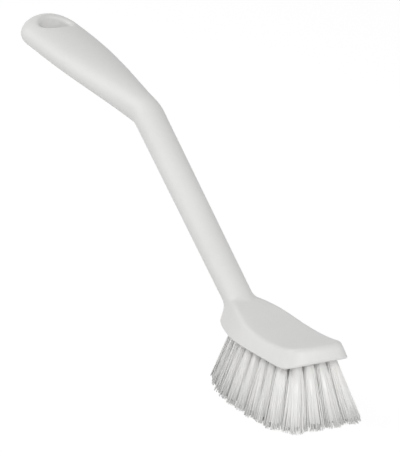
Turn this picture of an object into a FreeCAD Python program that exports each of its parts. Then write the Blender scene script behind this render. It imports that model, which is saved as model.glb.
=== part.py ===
import FreeCAD, Part
import math
import os

from FreeCAD import Vector

# Dish brush in millimetres: one moulded handle, and bristle tufts in blind holes under its head.
# +X runs from the grip to the front of the head, +Z is up, and the trimmed tips lie on Z = 0.

# Head of the handle, seen from above at the level of the tuft face
head_length = 81.0
head_width = 35.6
rear_end_radius = 10.0
rear_shoulder_radius = 80.0
front_end_radius = 40.8
front_corner_radius = 11.0

# Walls of the head, which lean inwards from the tuft face up
side_wall_lean = 29.5
front_wall_lean = 14.9
rear_wall_lean = 2.8

# Top of the head: a shallow hollow along the length, with soft edges
head_thickness = 6.9
head_rear_height = 13.0
hollow_radius = 101.0
hollow_from_front = 27.5
top_edge_radius = 3.1
rim_chamfer = 0.6

# Turned-up scraping edge under the front
scraper_depth = 9.3
scraper_rise = 4.1

# Turned-up underside at the rear
heel_depth = 6.0
heel_rise = 5.0

# Neck: a straight round bar that rises backwards out of the head from a rounded root
neck_from_rear = 12.4
neck_above_face = 6.2
neck_angle = 37.4
neck_length = 117.6
neck_diameter = 13.6
neck_root_radius = 8.0

# Bend between neck and grip
bend_radius = 15.6
bend_diameter = 15.0

# Grip: an oval that widens towards its rounded end
grip_length = 116.8
grip_start_angle = 11.8
grip_end_angle = 7.9
grip_width = 31.6
grip_thickness = 16.4
grip_even_length = 28.0
grip_flare_power = 1.15
grip_end_length = 14.7
grip_end_drop = 8.6
grip_end_turn = 86.0

# Hole to hang the brush by, with rounded rims
hang_hole_radius = 7.6
hang_hole_from_end = 17.8
hang_hole_rim_radius = 2.0

# Tufts: ranks across the head that fan outwards
bristle_length = 27.3
tuft_diameter = 4.2
tuft_tip_diameter = 7.6
tuft_sides = 10
tuft_pitch = 6.3
tuft_row_pitch = 6.9
field_inset = 6.2
field_front_inset = 7.4
field_rear_inset = 10.0
rear_rank_share = 0.33
front_rank_share = 0.78
rear_fan_angle = 21.5
front_fan_angle = 19.0
side_fan_angle = 17.0

# Blind holes for the tufts
hole_depth = 4.8
hole_clearance = 0.1

# Values that follow from the sizes above
face_z = bristle_length
nose_x = head_length / 2
rear_x = -head_length / 2
half_width = head_width / 2
tuft_radius = tuft_diameter / 2
hole_radius = tuft_radius + hole_clearance
neck_slope = math.radians(neck_angle)
grip_start_slope = math.radians(grip_start_angle)
grip_end_slope = math.radians(grip_end_angle)
bend_turn = neck_slope - grip_start_slope
bend_tangent = bend_radius * math.tan(bend_turn / 2)
neck_run = neck_length - bend_tangent
bend_run = bend_radius * bend_turn
grip_run = grip_length - bend_tangent
bar_length = neck_run + bend_run + grip_run

# Margin by which cutting shapes pass the solid that they cut
overrun = 20.0

# Even steps between the sections of each lofted stretch of the bar
grip_steps = 10
even_steps = 4
end_steps = 6

# Upward share of a face's direction above which it counts as top or underside, not wall
wall_limit = 0.65


class RoundedEnd:
    """One end of the head's outline: an arc across the middle and a tangent corner at each side."""

    def __init__(self, end_x, way, end_radius, corner_radius, half):
        self.way = way
        self.end_radius = end_radius
        self.corner_radius = corner_radius
        gap = (end_radius - corner_radius) ** 2 - (half - corner_radius) ** 2
        reach = math.copysign(math.sqrt(gap), end_radius - corner_radius)
        self.tip = Vector(end_x, 0, 0)
        self.centre = Vector(end_x - way * end_radius, 0, 0)
        self.corner = Vector(self.centre.x + way * reach, half - corner_radius, 0)
        self.start = self.corner + Vector(0, corner_radius, 0)
        if end_radius > corner_radius:
            self.meet = self.corner + (self.corner - self.centre).normalize() * corner_radius
        else:
            self.meet = self.centre + (self.centre - self.corner).normalize() * end_radius
        chord_middle = (self.start + self.meet) * 0.5
        self.middle = self.corner + (chord_middle - self.corner).normalize() * corner_radius

    def reach(self, y):
        """How far the end extends at a distance from the centre line."""
        if abs(y) <= self.meet.y:
            return self.centre.x + self.way * math.sqrt(self.end_radius ** 2 - y ** 2)
        off = abs(y) - self.corner.y
        return self.corner.x + self.way * math.sqrt(self.corner_radius ** 2 - off ** 2)

    def half_at(self, x):
        """Half of the outline's width at a place along the length."""
        if self.way * (x - self.meet.x) > 0:
            return math.sqrt(self.end_radius ** 2 - (x - self.centre.x) ** 2)
        if self.way * (x - self.corner.x) > 0:
            return self.corner.y + math.sqrt(self.corner_radius ** 2 - (x - self.corner.x) ** 2)
        return self.start.y


def mirrored(point):
    return Vector(point.x, -point.y, point.z)


def outline_ends(side_inset, front_inset, rear_inset):
    """Front and rear of the head's outline, moved in from its size at the tuft face."""
    half = half_width - side_inset
    front = RoundedEnd(nose_x - front_inset, 1, front_end_radius - side_inset,
                       front_corner_radius - side_inset, half)
    rear = RoundedEnd(rear_x + rear_inset, -1, rear_end_radius - side_inset,
                      rear_shoulder_radius - side_inset, half)
    return front, rear


def wall_outline(rise):
    """Closed outline of the leaning walls at a height above the tuft face."""
    leans = (side_wall_lean, front_wall_lean, rear_wall_lean)
    front, rear = outline_ends(*[rise * math.tan(math.radians(lean)) for lean in leans])
    edges = [
        Part.Arc(mirrored(rear.meet), rear.tip, rear.meet),
        Part.Arc(rear.meet, rear.middle, rear.start),
        Part.LineSegment(rear.start, front.start),
        Part.Arc(front.start, front.middle, front.meet),
        Part.Arc(front.meet, front.tip, mirrored(front.meet)),
        Part.Arc(mirrored(front.meet), mirrored(front.middle), mirrored(front.start)),
        Part.LineSegment(mirrored(front.start), mirrored(rear.start)),
        Part.Arc(mirrored(rear.start), mirrored(rear.middle), mirrored(rear.meet)),
    ]
    wire = Part.Wire([edge.toShape() for edge in edges])
    wire.translate(Vector(0, 0, face_z + rise))
    return wire


def top_curve():
    """Side view of the head's top: a hollow that rises into a level crest at the rear."""
    lowest = Vector(nose_x - hollow_from_front, 0, face_z + head_thickness)
    crest = Vector(rear_x, 0, face_z + head_rear_height)
    hollow = lowest + Vector(0, 0, hollow_radius)
    away = lowest.x - crest.x
    below = hollow.z - crest.z
    crest_radius = (away ** 2 + below ** 2 - hollow_radius ** 2) / (2 * (hollow_radius - below))
    meet = hollow + (crest - Vector(0, 0, crest_radius) - hollow).normalize() * hollow_radius
    turn = math.asin((nose_x + overrun - hollow.x) / hollow_radius)
    front = hollow + Vector(math.sin(turn), 0, -math.cos(turn)) * hollow_radius
    rise = math.asin((meet.x - crest.x) / crest_radius) / 2
    middle = crest + Vector(math.sin(rise), 0, math.cos(rise) - 1) * crest_radius
    behind = crest - Vector(overrun, 0, 0)
    edges = [Part.Arc(front, lowest, meet), Part.Arc(meet, middle, crest), Part.LineSegment(crest, behind)]
    return edges, front, behind


def turned_up(x, way, depth, rise):
    """Arc in side view from the tuft face up to an end of the head."""
    radius = (depth ** 2 + rise ** 2) / (2 * rise)
    turn = math.asin(depth / radius)
    start = Vector(x - way * depth, 0, face_z)
    middle = start + Vector(way * math.sin(turn / 2), 0, 1 - math.cos(turn / 2)) * radius
    return Part.Arc(start, middle, Vector(x, 0, face_z + rise))


def side_profile():
    """Side view of the head: flat tuft face with both ends turned up, and hollow top."""
    lip = Vector(nose_x, 0, face_z + scraper_rise)
    lip_front = lip + Vector(overrun, 0, 0)
    heel = Vector(rear_x, 0, face_z + heel_rise)
    heel_behind = heel - Vector(overrun, 0, 0)
    top_edges, front, behind = top_curve()
    edges = [
        Part.LineSegment(heel_behind, heel),
        turned_up(rear_x, -1, heel_depth, heel_rise),
        Part.LineSegment(Vector(rear_x + heel_depth, 0, face_z), Vector(nose_x - scraper_depth, 0, face_z)),
        turned_up(nose_x, 1, scraper_depth, scraper_rise),
        Part.LineSegment(lip, lip_front),
        Part.LineSegment(lip_front, front),
        *top_edges,
        Part.LineSegment(behind, heel_behind),
    ]
    face = Part.Face(Part.Wire([edge.toShape() for edge in edges]))
    face.translate(Vector(0, -head_width, 0))
    return face.extrude(Vector(0, 2 * head_width, 0))


def border(shape, way):
    """Edges around all faces of the head that look up, or down where way is -1."""
    edges = []
    for face in shape.Faces:
        place = face.Surface.parameter(face.CenterOfMass)
        if way * face.normalAt(*place).z > wall_limit:
            edges += face.Edges
    return [edge for edge in edges if sum(other.isSame(edge) for other in edges) == 1]


def head_block():
    """Head with leaning walls, softened along its top edge and its rim."""
    walls = Part.makeLoft([wall_outline(0), wall_outline(head_rear_height + rim_chamfer)], True, True)
    block = walls.common(side_profile())
    block = block.makeFillet(top_edge_radius, border(block, 1))
    return block.makeChamfer(rim_chamfer, border(block, -1))


def bar_axis(travel):
    """Point and upward slope of the centre line of neck and grip, measured from the head."""
    point = Vector(rear_x + neck_from_rear, 0, face_z + neck_above_face)
    for length, first, last in ((neck_run, neck_slope, neck_slope),
                                (bend_run, neck_slope, grip_start_slope),
                                (grip_run, grip_start_slope, grip_end_slope)):
        step = min(travel, length)
        slope = first + (last - first) * step / length
        half_turn = (slope - first) / 2
        chord = step * math.sin(half_turn) / half_turn if half_turn else step
        mean = (slope + first) / 2
        point += Vector(-math.cos(mean), 0, math.sin(mean)) * chord
        travel -= step
        if travel <= 0:
            break
    return point, slope


def upward(slope):
    """Direction square to the bar's centre line, towards its upper side."""
    return Vector(math.sin(slope), 0, math.cos(slope))


def bar_section(travel, width, thickness):
    """Round or oval section of the bar, square to its centre line; an oval is widest across."""
    point, slope = bar_axis(travel)
    side = point + Vector(0, width / 2, 0)
    top = point + upward(slope) * (thickness / 2)
    if math.isclose(width, thickness):
        return Part.Wire([Part.Circle(side, top, mirrored(side)).toShape()])
    return Part.Wire([Part.Ellipse(side, top, point).toShape()])


def spread(first, last, steps):
    """Evenly spaced values from first to last."""
    return [first + (last - first) * index / steps for index in range(steps + 1)]


def neck():
    """Straight round bar whose foot is buried in the head, just above the tuft face."""
    start = bar_axis(0)[0]
    run = bar_axis(neck_run)[0] - start
    buried = run * (neck_diameter / run.Length)
    growth = (bend_diameter - neck_diameter) / 2 / run.Length
    foot_radius = neck_diameter / 2 - growth * buried.Length
    bar = Part.makeCone(foot_radius, bend_diameter / 2, (run + buried).Length, start - buried, run)
    corner = Vector(-head_length, -head_width, face_z + rim_chamfer - overrun)
    return bar.cut(Part.makeBox(2 * head_length, 2 * head_width, overrun, corner))


def head_and_neck():
    """Head with the neck rounded into it."""
    solid = head_block().fuse(neck())
    skin = [face for face in solid.Faces if isinstance(face.Surface, Part.Cone)][0]
    head_top = face_z + head_rear_height
    return solid.makeFillet(neck_root_radius, [edge for edge in skin.Edges if edge.BoundBox.ZMax < head_top])


def bend():
    start, slope = bar_axis(neck_run)
    disc = Part.Face(bar_section(neck_run, bend_diameter, bend_diameter))
    centre = start - upward(slope) * bend_radius
    return disc.revolve(centre, Vector(0, -1, 0), math.degrees(bend_turn))


def grip():
    """Oval grip: a flaring stretch, then an even one with the hang hole and the rounded end."""
    flare_start = neck_run + bend_run
    flare_end = bar_length - grip_even_length
    flaring = []
    for travel in spread(flare_start, flare_end, grip_steps):
        full = math.sin((travel - flare_start) / (flare_end - flare_start) * math.pi / 2) ** grip_flare_power
        width = bend_diameter + (grip_width - bend_diameter) * full
        thickness = bend_diameter + (grip_thickness - bend_diameter) * full
        flaring.append(bar_section(travel, width, thickness))
    rounding = []
    for left in spread(grip_even_length, grip_end_length, even_steps)[:-1]:
        rounding.append(bar_section(bar_length - left, grip_width, grip_thickness))
    for angle in spread(0, math.radians(grip_end_turn), end_steps):
        left = grip_end_length * (1 - math.sin(angle))
        drop = max(0.0, 1 - left / grip_end_drop)
        rounding.append(bar_section(bar_length - left, grip_width * math.cos(angle),
                                    grip_thickness * math.sqrt(1 - drop ** 2)))
    return Part.makeLoft(flaring, True, True).fuse(Part.makeLoft(rounding, True))


def hang_hole():
    """Middle and direction of the hole through the grip."""
    point, slope = bar_axis(bar_length - hang_hole_from_end)
    return point, upward(slope)


def grip_with_hole():
    """Grip, with the hole to hang the brush by."""
    point, axis = hang_hole()
    drill = Part.makeCylinder(hang_hole_radius, 2 * grip_thickness, point - axis * grip_thickness, axis)
    solid = grip().cut(drill)
    wall = [face for face in solid.Faces if isinstance(face.Surface, Part.Cylinder)][0]
    rims = [edge for edge in wall.Edges if not isinstance(edge.Curve, Part.Line)]
    return solid.makeFillet(hang_hole_rim_radius, rims)


class TuftPlace:
    """Place of one tuft, and the shapes that stand there."""

    def __init__(self, name, x, y, lean_x, lean_y):
        self.name = name
        self.inward = Vector(-lean_x, -lean_y, 1).normalize()
        self.floor = Vector(x, y, face_z) + self.inward * hole_depth

    def stand(self, shape):
        """Move a shape, drawn below the origin, to hang from the floor of the hole."""
        shape.Placement = FreeCAD.Placement(self.floor, FreeCAD.Rotation(Vector(0, 0, 1), self.inward))
        return shape

    def socket(self):
        """Blind hole for the tuft, with as many sides."""
        depth = hole_depth + overrun
        return self.stand(many_sided(hole_radius, hole_radius, depth))

    def tuft(self):
        """Bundle of bristles that spreads from the floor of its hole to the trimmed tips."""
        spreading = (tuft_tip_diameter - tuft_diameter) / 2 / bristle_length
        floor_radius = tuft_radius - spreading * hole_depth
        length = self.floor.z / self.inward.z + tuft_tip_diameter
        bundle = self.stand(many_sided(floor_radius, floor_radius + spreading * length, length))
        corner = Vector(-head_length, -head_length, -overrun)
        return bundle.cut(Part.makeBox(2 * head_length, 2 * head_length, overrun, corner))


def many_sided(top_radius, end_radius, length):
    """Flat-sided bar, straight or tapered, that hangs from the origin."""
    rings = []
    for radius, z in ((top_radius, 0), (end_radius, -length)):
        turns = spread(0, 2 * math.pi, tuft_sides)[:-1]
        rings.append([Vector(radius * math.cos(turn), radius * math.sin(turn), z) for turn in turns])
    top, end = rings
    outlines = [top, end]
    for index in range(tuft_sides):
        outlines.append([top[index - 1], top[index], end[index], end[index - 1]])
    faces = [Part.Face(Part.makePolygon(points + points[:1])) for points in outlines]
    return Part.Solid(Part.Shell(faces))


def tuft_places():
    """Ranks of tufts across the head, spread evenly and leaning outwards."""
    front, rear = outline_ends(field_inset, field_front_inset, field_rear_inset)
    field_half = half_width - field_inset
    first = rear.reach(rear_rank_share * field_half)
    last = front.reach(front_rank_share * field_half)
    rear_lean, front_lean, side_lean = [math.tan(math.radians(angle))
                                        for angle in (-rear_fan_angle, front_fan_angle, side_fan_angle)]
    places = []
    for rank, x in enumerate(spread(first, last, int((last - first) / tuft_pitch)), 1):
        half = min(front.half_at(x), rear.half_at(x))
        lean_x = rear_lean + (front_lean - rear_lean) * (x - first) / (last - first)
        for number, y in enumerate(spread(-half, half, round(2 * half / tuft_row_pitch)), 1):
            lean_y = side_lean * y / field_half
            places.append(TuftPlace(f"tuft_{rank:02d}_{number}", x, y, lean_x, lean_y))
    return places


def pieces():
    """All pieces by name, with the origin moved to the bottom centre of the whole brush."""
    places = tuft_places()
    found = {place.name: place.tuft() for place in places}
    handle = head_and_neck().multiFuse([bend(), grip_with_hole()])
    found["handle"] = handle.cut([place.socket() for place in places])
    box = Part.makeCompound(list(found.values())).optimalBoundingBox()
    for shape in found.values():
        shape.translate(Vector(-box.Center.x, 0, 0))
    return found


if __name__ == "__main__":
    os.makedirs("parts", exist_ok=True)
    for name, shape in pieces().items():
        shape.exportStep(f"parts/{name}.step")
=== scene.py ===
import math

import bmesh
import bpy
from mathutils import Matrix, Vector


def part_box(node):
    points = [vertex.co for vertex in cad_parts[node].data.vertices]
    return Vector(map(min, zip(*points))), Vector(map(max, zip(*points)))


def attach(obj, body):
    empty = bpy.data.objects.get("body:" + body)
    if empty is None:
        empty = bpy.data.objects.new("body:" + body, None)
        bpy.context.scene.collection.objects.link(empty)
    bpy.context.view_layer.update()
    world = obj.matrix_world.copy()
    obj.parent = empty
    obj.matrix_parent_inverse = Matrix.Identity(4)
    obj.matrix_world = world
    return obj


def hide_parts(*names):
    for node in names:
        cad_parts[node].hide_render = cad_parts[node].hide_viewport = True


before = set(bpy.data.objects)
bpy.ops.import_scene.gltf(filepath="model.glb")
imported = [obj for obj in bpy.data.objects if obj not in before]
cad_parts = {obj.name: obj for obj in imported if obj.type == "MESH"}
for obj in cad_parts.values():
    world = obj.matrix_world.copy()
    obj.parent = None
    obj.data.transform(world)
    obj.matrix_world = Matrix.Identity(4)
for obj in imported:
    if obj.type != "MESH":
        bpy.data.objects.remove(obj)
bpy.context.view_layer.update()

# White dish brush in metres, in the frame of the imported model: the moulded handle, and bristles in place
# of the tuft solids. The trimmed tips stand on the floor at Z = 0.

MM = 0.001

# Handle mesh: corners this close are merged, and facets that meet at less than this angle are shaded as
# one curve
MERGE_DISTANCE = 0.002 * MM
SMOOTH_ANGLE = math.radians(28)

# Tuft solids: the corners at or below this level are tips, and corners that agree in metres to this many
# digits are one
TIP_LEVEL = 0.05 * MM
CORNER_DIGITS = 6

# Filaments: tapering rods that start this high above the tuft face, inside their holes, and bow sideways
# by up to the bow's reach
FILAMENTS_PER_TUFT = 180
FILAMENT_DIAMETER = 0.46 * MM
FILAMENT_TIP_DIAMETER = 0.42 * MM
FILAMENT_SIDES = 4
FILAMENT_SEGMENTS = 3
FILAMENT_LIFT = 3.0 * MM
BOW_REACH = 0.5 * MM

# Fill: what the bristles add to a tuft solid's radius, so that neighbouring tufts close up
ROOT_FILL = 0.5 * MM
TIP_FILL = 1.9 * MM

# Pattern of the filaments in a tuft: a sunflower spiral in radians, a little disturbed.
# A crowding of 0.5 spreads them evenly, and a smaller one sets more of them near the outside.
GOLDEN_ANGLE = 2.399963
CROWDING = 0.32
SPIRAL_JITTER = (0.1, 0.9)
ANGLE_JITTER = 0.4
TIP_TWIST = 0.2

# Trim: each tuft and each filament falls short by up to so much. The power leaves most filaments long.
# The clearance, a share of the root's diameter, keeps the slanting ends off the floor.
TUFT_TRIM = 0.6 * MM
RAGGED_TRIM = 3.0 * MM
RAGGED_POWER = 4
END_CLEARANCE = 0.25

# Core of a tuft, for the filaments that lie too close to be told apart: its share of the narrowest tuft's
# radius and of each tuft's length
CORE_SHARE = 0.88
CORE_REACH = 0.93
CORE_SIDES = 12
CORE_SEGMENTS = 1

# Random draws of the bristles: each adds its place in this row, counted from 1, to the seed
BRISTLE_SEED = 7
DRAWS = ("spiral", "angle", "tip twist", "ragged trim", "bow angle", "bow reach", "tone", "tuft trim")

# Finish of the handle: faint flow marks and specks in the tone, and a fine grain in the surface
PLASTIC_TONES = ((0.3, (0.695, 0.693, 0.683)), (0.7, (0.735, 0.733, 0.725)))
PLASTIC_ROUGHNESS = 0.40
PLASTIC_IOR = 1.49
FLOW_SCALE = 28.0
FLOW_SHARE = 0.75
FLOW_ROUGHNESS = 0.10
SPECK_SCALE = 420.0
SPECK_ROUGHNESS = 0.06
GRAIN_SCALE = 2600.0
GRAIN_STRENGTH = 0.25
GRAIN_DEPTH = 0.02 * MM

# Finish of the bristles: how much of the tone is a filament's own, with the rest a painted shade from root
# to tip, darker at the roots
NYLON_TONES_AND_ROOT_SHADE = ((0.0, (0.77, 0.765, 0.75)), (1.0, (0.87, 0.87, 0.86)))
NYLON_ROUGHNESS = 0.30
NYLON_IOR = 1.53
OWN_SHARE = 0.7
OWN_ROUGHNESS = 0.15

# Camera at the photograph's viewing angle, with the picture's scale at the point that it aims at
IMAGE_HEIGHT = 452
PIXELS_PER_METRE = 2177.7
CAMERA_AIM = Vector((39.84, -8.16, 67.52)) * MM
CAMERA_DISTANCE = 1.2764
CAMERA_AZIMUTH = math.radians(59.904)
CAMERA_ELEVATION = math.radians(16.770)
CAMERA_ROLL = math.radians(0.924)
SENSOR_HEIGHT = 36.0

# Floor and light: the floor is matte to the light, and to the camera its glow is mixed in by the whiteness
WHITE = (1, 1, 1, 1)
FLOOR_SIZE = 8.0
FLOOR_TONE = (0.92, 0.92, 0.92, 1)
FLOOR_GLOW = 1.1
FLOOR_WHITENESS = 0.8
PANEL_SIZE = 1.2
PANEL_DISTANCE = 1.6
SKY_STRENGTH = 0.36


def math_operator(operation):
    """A Python operator on values, and its reflected form, that add a Math node."""

    def forward(self, other):
        return self.graph.node("ShaderNodeMath", {"operation": operation}, {0: self, 1: other})[0]

    def reflected(self, other):
        return self.graph.node("ShaderNodeMath", {"operation": operation}, {0: other, 1: self})[0]

    return forward, reflected


class Value:
    """One output of a node; sums, products and powers of values add Math nodes to its tree."""

    def __init__(self, graph, socket):
        self.graph = graph
        self.socket = socket

    __add__, __radd__ = math_operator("ADD")
    __sub__, __rsub__ = math_operator("SUBTRACT")
    __mul__, __rmul__ = math_operator("MULTIPLY")
    __truediv__, __rtruediv__ = math_operator("DIVIDE")
    __pow__, __rpow__ = math_operator("POWER")


class Made:
    """A node in a tree, whose outputs are read by name or place."""

    def __init__(self, graph, node):
        self.graph = graph
        self.outputs = node.outputs

    def __getitem__(self, output):
        return Value(self.graph, self.outputs[output])


class Graph:
    """A node tree that is filled by one method."""

    def __init__(self, tree):
        self.tree = tree

    def node(self, kind, settings=None, inputs=None):
        """Add a node: its settings or a ramp's stops first, then its sockets; a list is several links."""
        made = self.tree.nodes.new(kind)
        for name, value in (settings or {}).items():
            if name == "stops":
                self.set_stops(made.color_ramp, value)
            else:
                setattr(made, name, value)
        for name, given in (inputs or {}).items():
            for value in given if isinstance(given, list) else [given]:
                if isinstance(value, Value):
                    self.tree.links.new(value.socket, made.inputs[name])
                else:
                    made.inputs[name].default_value = value
        return Made(self, made)

    def set_stops(self, ramp, stops):
        while len(ramp.elements) < len(stops):
            ramp.elements.new(1.0)
        for element, (place, colour) in zip(ramp.elements, stops):
            element.position = place
            element.color = (*colour, 1.0)


class BristleGraph(Graph):
    """Geometry Nodes for bristles, with a named input for each size."""

    SOCKETS = {int: "NodeSocketInt", float: "NodeSocketFloat"}

    def __init__(self, name, sizes):
        super().__init__(bpy.data.node_groups.new(name, "GeometryNodeTree"))
        self.add_socket("Geometry", "INPUT", "NodeSocketGeometry")
        for size, value in sizes.items():
            self.add_socket(size, "INPUT", self.SOCKETS[type(value)])
        self.add_socket("Geometry", "OUTPUT", "NodeSocketGeometry")
        self.given = self.node("NodeGroupInput")

    def add_socket(self, name, side, kind):
        self.tree.interface.new_socket(name=name, in_out=side, socket_type=kind)

    def attribute(self, name, kind="FLOAT"):
        """What each point has kept under a name."""
        return self.node("GeometryNodeInputNamedAttribute", {"data_type": kind},
                         {"Name": name})["Attribute"]

    def keep(self, geometry, name, value, kind="FLOAT"):
        """Let each point keep a value under a name."""
        return self.node("GeometryNodeStoreNamedAttribute", {"data_type": kind, "domain": "POINT"},
                         {"Geometry": geometry, "Name": name, "Value": value})["Geometry"]

    def chance(self, draw, low=0.0, high=1.0):
        """One of the random draws; inputs 2 and 3 and output 1 are the node's sockets for numbers."""
        seed = self.given["Seed"] + (DRAWS.index(draw) + 1)
        return self.node("FunctionNodeRandomValue", {"data_type": "FLOAT"},
                         {2: low, 3: high, "Seed": seed})[1]

    def flat(self, angle, radius):
        """Level vector of this length."""
        cosine, sine = [self.node("ShaderNodeMath", {"operation": name}, {0: angle})[0]
                        for name in ("COSINE", "SINE")]
        return self.node("ShaderNodeCombineXYZ", {}, {"X": cosine * radius, "Y": sine * radius})["Vector"]

    def vectors(self, operation, first, second):
        return self.node("ShaderNodeVectorMath", {"operation": operation}, {0: first, 1: second})["Vector"]

    def length(self, vector):
        return self.node("ShaderNodeVectorMath", {"operation": "LENGTH"}, {0: vector})["Value"]

    def rod(self, sides, segments, root_radius, tip_radius):
        """Rod of unit length along +Z, whose points keep how far along it they are."""
        shape = self.node("GeometryNodeMeshCone", {"fill_type": "NGON"}, {
            "Vertices": sides,
            "Side Segments": segments,
            "Radius Top": tip_radius,
            "Radius Bottom": root_radius,
            "Depth": 1.0,
        })["Mesh"]
        place = self.node("GeometryNodeInputPosition")["Position"]
        return self.keep(shape, "along", self.node("ShaderNodeSeparateXYZ", {}, {0: place})["Z"])

    def stand(self, points, rod, way, length):
        """Stand a rod on each point, turned along its way and stretched to its length."""
        turn = self.node("FunctionNodeAlignRotationToVector", {"axis": "Z"}, {"Vector": way})["Rotation"]
        size = self.node("ShaderNodeCombineXYZ", {}, {"X": 1.0, "Y": 1.0, "Z": length})["Vector"]
        return self.node("GeometryNodeInstanceOnPoints", {},
                         {"Points": points, "Instance": rod, "Rotation": turn, "Scale": size})["Instances"]

    def change(self, kind, geometry, **inputs):
        """Pass the geometry through a node that changes it."""
        return self.node(kind, {}, {"Geometry": geometry, **inputs})["Geometry"]


def new_material(name):
    """An empty material and its graph."""
    material = bpy.data.materials.new(name)
    material.use_nodes = True
    material.node_tree.nodes.clear()
    return material, Graph(material.node_tree)


def noise(graph, place, scale, detail):
    """Cloudy pattern over the piece."""
    return graph.node("ShaderNodeTexNoise", {}, {"Vector": place, "Scale": scale, "Detail": detail})["Fac"]


def moulded_plastic():
    """Satin white plastic: faint flow marks in the tone, a fine moulded grain and soft gloss."""
    material, graph = new_material("moulded_white_plastic")
    place = graph.node("ShaderNodeTexCoord")["Object"]
    flow = noise(graph, place, FLOW_SCALE, detail=3.0)
    speck = noise(graph, place, SPECK_SCALE, detail=2.0)
    grain = noise(graph, place, GRAIN_SCALE, detail=2.0)
    shade = flow * FLOW_SHARE + speck * (1 - FLOW_SHARE)
    tone = graph.node("ShaderNodeValToRGB", {"stops": PLASTIC_TONES}, {"Fac": shade})["Color"]
    relief = graph.node("ShaderNodeBump", {},
                        {"Strength": GRAIN_STRENGTH, "Distance": GRAIN_DEPTH, "Height": grain})["Normal"]
    surface = graph.node("ShaderNodeBsdfPrincipled", {}, {
        "Base Color": tone,
        "Roughness": PLASTIC_ROUGHNESS + flow * FLOW_ROUGHNESS + speck * SPECK_ROUGHNESS,
        "Normal": relief,
        "IOR": PLASTIC_IOR,
    })["BSDF"]
    graph.node("ShaderNodeOutputMaterial", {}, {"Surface": surface})
    return material


def bristle_nylon():
    """White filaments: each has its own tone, and a painted shade darkens them towards the roots, so they
    pale towards the trimmed tips.
    """
    material, graph = new_material("white_bristle_filament")
    own = graph.node("ShaderNodeAttribute", {"attribute_name": "own_tone"})["Fac"]
    along = graph.node("ShaderNodeAttribute", {"attribute_name": "along"})["Fac"]
    # The share from root to tip is painted shade: darker at the roots, paler at the tips
    shade = own * OWN_SHARE + along * (1 - OWN_SHARE)
    tone = graph.node("ShaderNodeValToRGB", {"stops": NYLON_TONES_AND_ROOT_SHADE}, {"Fac": shade})["Color"]
    surface = graph.node("ShaderNodeBsdfPrincipled", {}, {
        "Base Color": tone,
        "Roughness": NYLON_ROUGHNESS + own * OWN_ROUGHNESS,
        "IOR": NYLON_IOR,
    })["BSDF"]
    graph.node("ShaderNodeOutputMaterial", {}, {"Surface": surface})
    return material


def seen_directly(graph):
    """1 for what the camera sees, also in a reflection or through glass, and 0 for scattered light."""
    rays = graph.node("ShaderNodeLightPath")
    return rays["Is Camera Ray"] + rays["Is Glossy Ray"] + rays["Is Transmission Ray"]


def white_floor():
    """Pale floor that keeps the shadow; to the camera and in reflections it is nearly pure white."""
    material, graph = new_material("pale_floor")
    matte = graph.node("ShaderNodeBsdfDiffuse", {}, {"Color": FLOOR_TONE})["BSDF"]
    white = graph.node("ShaderNodeEmission", {}, {"Color": WHITE, "Strength": FLOOR_GLOW})["Emission"]
    whiteness = seen_directly(graph) * FLOOR_WHITENESS
    surface = graph.node("ShaderNodeMixShader", {}, {0: whiteness, 1: matte, 2: white})["Shader"]
    graph.node("ShaderNodeOutputMaterial", {}, {"Surface": surface})
    return material


def link(name, data):
    """A new object at the origin for a mesh, a lamp or a camera."""
    made = bpy.data.objects.new(name, data)
    bpy.context.scene.collection.objects.link(made)
    return made


def plain_mesh(made, name):
    """The object's evaluated shape as a plain mesh of its own."""
    bpy.context.view_layer.update()
    evaluated = made.evaluated_get(bpy.context.evaluated_depsgraph_get())
    mesh = bpy.data.meshes.new_from_object(evaluated)
    mesh.name = name
    return mesh


def smooth_handle():
    """The moulded handle with its facets joined into smooth curves and crisp edges kept."""
    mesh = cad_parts["handle"].data.copy()
    mesh.name = "handle_moulding"
    shape = bmesh.new()
    shape.from_mesh(mesh)
    bmesh.ops.remove_doubles(shape, verts=shape.verts, dist=MERGE_DISTANCE)
    for face in shape.faces:
        face.smooth = True
    for edge in shape.edges:
        edge.smooth = len(edge.link_faces) == 2 and edge.calc_face_angle() < SMOOTH_ANGLE
    shape.to_mesh(mesh)
    shape.free()
    mesh.materials.clear()
    mesh.materials.append(moulded_plastic())
    handle = link("handle_moulding", mesh)
    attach(handle, "root")
    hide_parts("handle")


def tuft_rings(node):
    """Middle and radius of a tuft solid's ring in its hole and of its ring of tips."""
    corners = {tuple(round(value, CORNER_DIGITS) for value in vertex.co) for vertex in node.data.vertices}
    corners = [Vector(corner) for corner in sorted(corners)]
    rings = []
    for at_tips in (False, True):
        ring = [corner for corner in corners if (corner.z <= TIP_LEVEL) == at_tips]
        middle = sum(ring, Vector()) / len(ring)
        rings += [middle, max((corner - middle).length for corner in ring)]
    return rings


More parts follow.
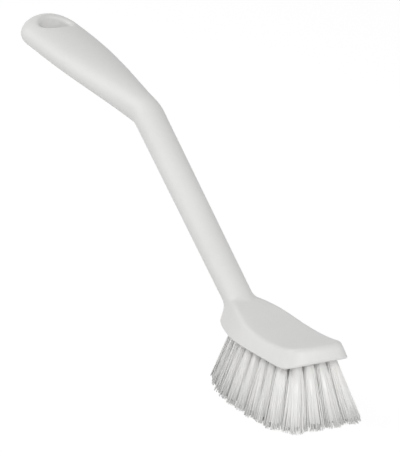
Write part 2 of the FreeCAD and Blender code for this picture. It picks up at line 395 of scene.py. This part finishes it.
def tuft_points(names):
    """A point near the mouth of each tuft's hole, with its way to the tips and its radius at both ends."""
    rings = [tuft_rings(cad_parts[name]) for name in names]
    tips = [tip for _, _, tip, _ in rings]
    low, high = [Vector([pick(tip[axis] for tip in tips) for axis in range(2)]) for pick in (min, max)]
    start_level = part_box("handle")[0].z + FILAMENT_LIFT
    inset = TIP_FILL - FILAMENT_DIAMETER / 2
    places, ways, mouths, spreads = [], [], [], []
    for seat, seat_radius, tip, tip_radius in rings:
        share = (seat.z - start_level) / (seat.z - tip.z)
        # The outer tips move in by the inset and the middle ones stay, so the fill keeps to the model's box
        inward = [(low[axis] + high[axis] - 2 * tip[axis]) / (high[axis] - low[axis]) for axis in range(2)]
        places.append(seat.lerp(tip, share))
        ways.append(tip + Vector((*inward, 0)) * inset - places[-1])
        mouths.append(seat_radius + (tip_radius - seat_radius) * share + ROOT_FILL)
        spreads.append(tip_radius + TIP_FILL)
    mesh = bpy.data.meshes.new("tuft_places")
    mesh.from_pydata(places, [], [])
    reach = mesh.attributes.new("reach", "FLOAT_VECTOR", "POINT")
    reach.data.foreach_set("vector", [value for way in ways for value in way])
    mesh.attributes.new("mouth", "FLOAT", "POINT").data.foreach_set("value", mouths)
    mesh.attributes.new("spread", "FLOAT", "POINT").data.foreach_set("value", spreads)
    return mesh, min(mouths), min(spreads)


def filaments(graph, tufts):
    """Filaments on a sunflower spiral in each hole, spreading to the tips and cut to ragged lengths."""
    given = graph.given
    copies = graph.node("GeometryNodeDuplicateElements", {"domain": "POINT"},
                        {"Geometry": tufts, "Amount": given["Filaments"]})
    number = copies["Duplicate Index"]
    outward = ((number + graph.chance("spiral", *SPIRAL_JITTER)) / given["Filaments"]) ** CROWDING
    angle = number * GOLDEN_ANGLE + graph.chance("angle", -ANGLE_JITTER, ANGLE_JITTER)
    tip_angle = angle + graph.chance("tip twist", -TIP_TWIST, TIP_TWIST)
    root = graph.flat(angle, outward * (graph.attribute("mouth") - given["Root diameter"]))
    tip = graph.flat(tip_angle, outward * (graph.attribute("spread") - given["Root diameter"]))
    end = graph.vectors("ADD", graph.attribute("reach", "FLOAT_VECTOR"), tip)
    way = graph.vectors("SUBTRACT", end, root)
    ragged = graph.chance("ragged trim") ** RAGGED_POWER * given["Ragged trim"]
    whole = graph.length(way) - given["Root diameter"] * END_CLEARANCE
    bow = graph.flat(graph.chance("bow angle", 0.0, 2 * math.pi), graph.chance("bow reach") * given["Bow"])
    points = graph.change("GeometryNodeSetPosition", copies["Geometry"], Offset=root)
    points = graph.keep(points, "bow", bow, "FLOAT_VECTOR")
    points = graph.keep(points, "own_tone", graph.chance("tone"))
    rod = graph.rod(FILAMENT_SIDES, FILAMENT_SEGMENTS,
                    root_radius=given["Root diameter"] / 2, tip_radius=given["Tip diameter"] / 2)
    return graph.stand(points, rod, way, whole - graph.attribute("cut_short") - ragged)


def cores(graph, tufts):
    """A core in each tuft, along its way to the tips but a little shorter."""
    way = graph.attribute("reach", "FLOAT_VECTOR")
    rod = graph.rod(CORE_SIDES, CORE_SEGMENTS,
                    root_radius=graph.given["Core root"], tip_radius=graph.given["Core tip"])
    return graph.stand(tufts, rod, way, graph.length(way) * CORE_REACH)


def bristle_tree(sizes, material):
    """Geometry Nodes that turn the tufts' points into cores and bowed filaments, joined to one mesh."""
    graph = BristleGraph("bristle_filaments", sizes)
    cut_short = graph.chance("tuft trim") * graph.given["Tuft trim"]
    tufts = graph.keep(graph.given["Geometry"], "cut_short", cut_short)
    stood = graph.change("GeometryNodeJoinGeometry", [cores(graph, tufts), filaments(graph, tufts)])
    bristle_mesh = graph.change("GeometryNodeRealizeInstances", stood)
    # The bow is an arch that is nothing at both ends and whole half-way
    along = graph.attribute("along")
    arch = along * (1 - along) * 4
    sway = graph.node("ShaderNodeVectorMath", {"operation": "SCALE"},
                      {0: graph.attribute("bow", "FLOAT_VECTOR"), "Scale": arch})["Vector"]
    bristle_mesh = graph.change("GeometryNodeSetPosition", bristle_mesh, Offset=sway)
    bristle_mesh = graph.change("GeometryNodeSetShadeSmooth", bristle_mesh)
    bristle_mesh = graph.change("GeometryNodeSetMaterial", bristle_mesh, Material=material)
    graph.node("NodeGroupOutput", {}, {"Geometry": bristle_mesh})
    return graph.tree


def bristles():
    """All bristles as one mesh in place of the tuft solids."""
    names = sorted(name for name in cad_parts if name.startswith("tuft_"))
    mesh, narrowest_mouth, narrowest_spread = tuft_points(names)
    sizes = {
        "Filaments": FILAMENTS_PER_TUFT,
        "Root diameter": FILAMENT_DIAMETER,
        "Tip diameter": FILAMENT_TIP_DIAMETER,
        "Ragged trim": RAGGED_TRIM,
        "Tuft trim": TUFT_TRIM,
        "Bow": BOW_REACH,
        "Core root": narrowest_mouth * CORE_SHARE,
        "Core tip": narrowest_spread * CORE_SHARE * CORE_REACH,
        "Seed": BRISTLE_SEED,
    }
    sower = link("bristles", mesh)
    modifier = sower.modifiers.new("filaments", "NODES")
    modifier.node_group = bristle_tree(sizes, bristle_nylon())
    for socket in modifier.node_group.interface.items_tree:
        if socket.in_out == "INPUT" and socket.name in sizes:
            modifier[socket.identifier] = sizes[socket.name]
    grown = plain_mesh(sower, "bristles")
    sower.modifiers.clear()
    sower.data = grown
    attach(sower, "root")
    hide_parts(*names)


def floor():
    """Wide flat floor under the tips."""
    mesh = bpy.data.meshes.new("floor")
    half = FLOOR_SIZE / 2
    corners = [(-half, -half, 0), (half, -half, 0), (half, half, 0), (-half, half, 0)]
    mesh.from_pydata(corners, [], [(0, 1, 2, 3)])
    mesh.materials.append(white_floor())
    link("floor", mesh)


def direction(azimuth, elevation):
    """Unit vector from the brush towards a viewer; azimuth 0 is on the -Y side and 90 on the +X side."""
    level = math.cos(elevation)
    return Vector((math.sin(azimuth) * level, -math.cos(azimuth) * level, math.sin(elevation)))


def soft_light(name, azimuth, elevation, strength):
    """Square studio panel facing the brush; at strength 1 a white surface turned to it renders white."""
    towards = direction(math.radians(azimuth), math.radians(elevation))
    lamp = bpy.data.lights.new(name, "AREA")
    lamp.size = PANEL_SIZE
    lamp.energy = strength * (math.pi * PANEL_DISTANCE) ** 2
    panel = link(name, lamp)
    panel.location = CAMERA_AIM + towards * PANEL_DISTANCE
    panel.rotation_euler = towards.to_track_quat("Z", "Y").to_euler()


def sky():
    """White surroundings that give an even light."""
    world = bpy.data.worlds.new("white_surroundings")
    world.use_nodes = True
    world.node_tree.nodes.clear()
    graph = Graph(world.node_tree)
    strength = SKY_STRENGTH + seen_directly(graph) * (1 - SKY_STRENGTH)
    shine = graph.node("ShaderNodeBackground", {}, {"Color": WHITE, "Strength": strength})["Background"]
    graph.node("ShaderNodeOutputWorld", {}, {"Surface": shine})
    bpy.context.scene.world = world


def camera():
    """Camera at the photograph's angle, level apart from a slight roll."""
    right = Vector((math.cos(CAMERA_AZIMUTH), math.sin(CAMERA_AZIMUTH), 0))
    back = direction(CAMERA_AZIMUTH, CAMERA_ELEVATION)
    up = back.cross(right)
    axes = Matrix((right, up, back)).transposed() @ Matrix.Rotation(CAMERA_ROLL, 3, "Z")
    lens = bpy.data.cameras.new("photo_camera")
    lens.sensor_fit = "VERTICAL"
    lens.sensor_height = SENSOR_HEIGHT
    lens.lens = PIXELS_PER_METRE * CAMERA_DISTANCE * SENSOR_HEIGHT / IMAGE_HEIGHT
    made = link("photo_camera", lens)
    made.matrix_world = Matrix.Translation(CAMERA_AIM + back * CAMERA_DISTANCE) @ axes.to_4x4()
    bpy.context.scene.camera = made


smooth_handle()
bristles()
floor()
sky()
soft_light("front_panel", azimuth=75, elevation=24, strength=0.62)
soft_light("side_panel", azimuth=-44, elevation=36, strength=0.43)
camera()
bpy.context.scene.view_settings.view_transform = "Standard"
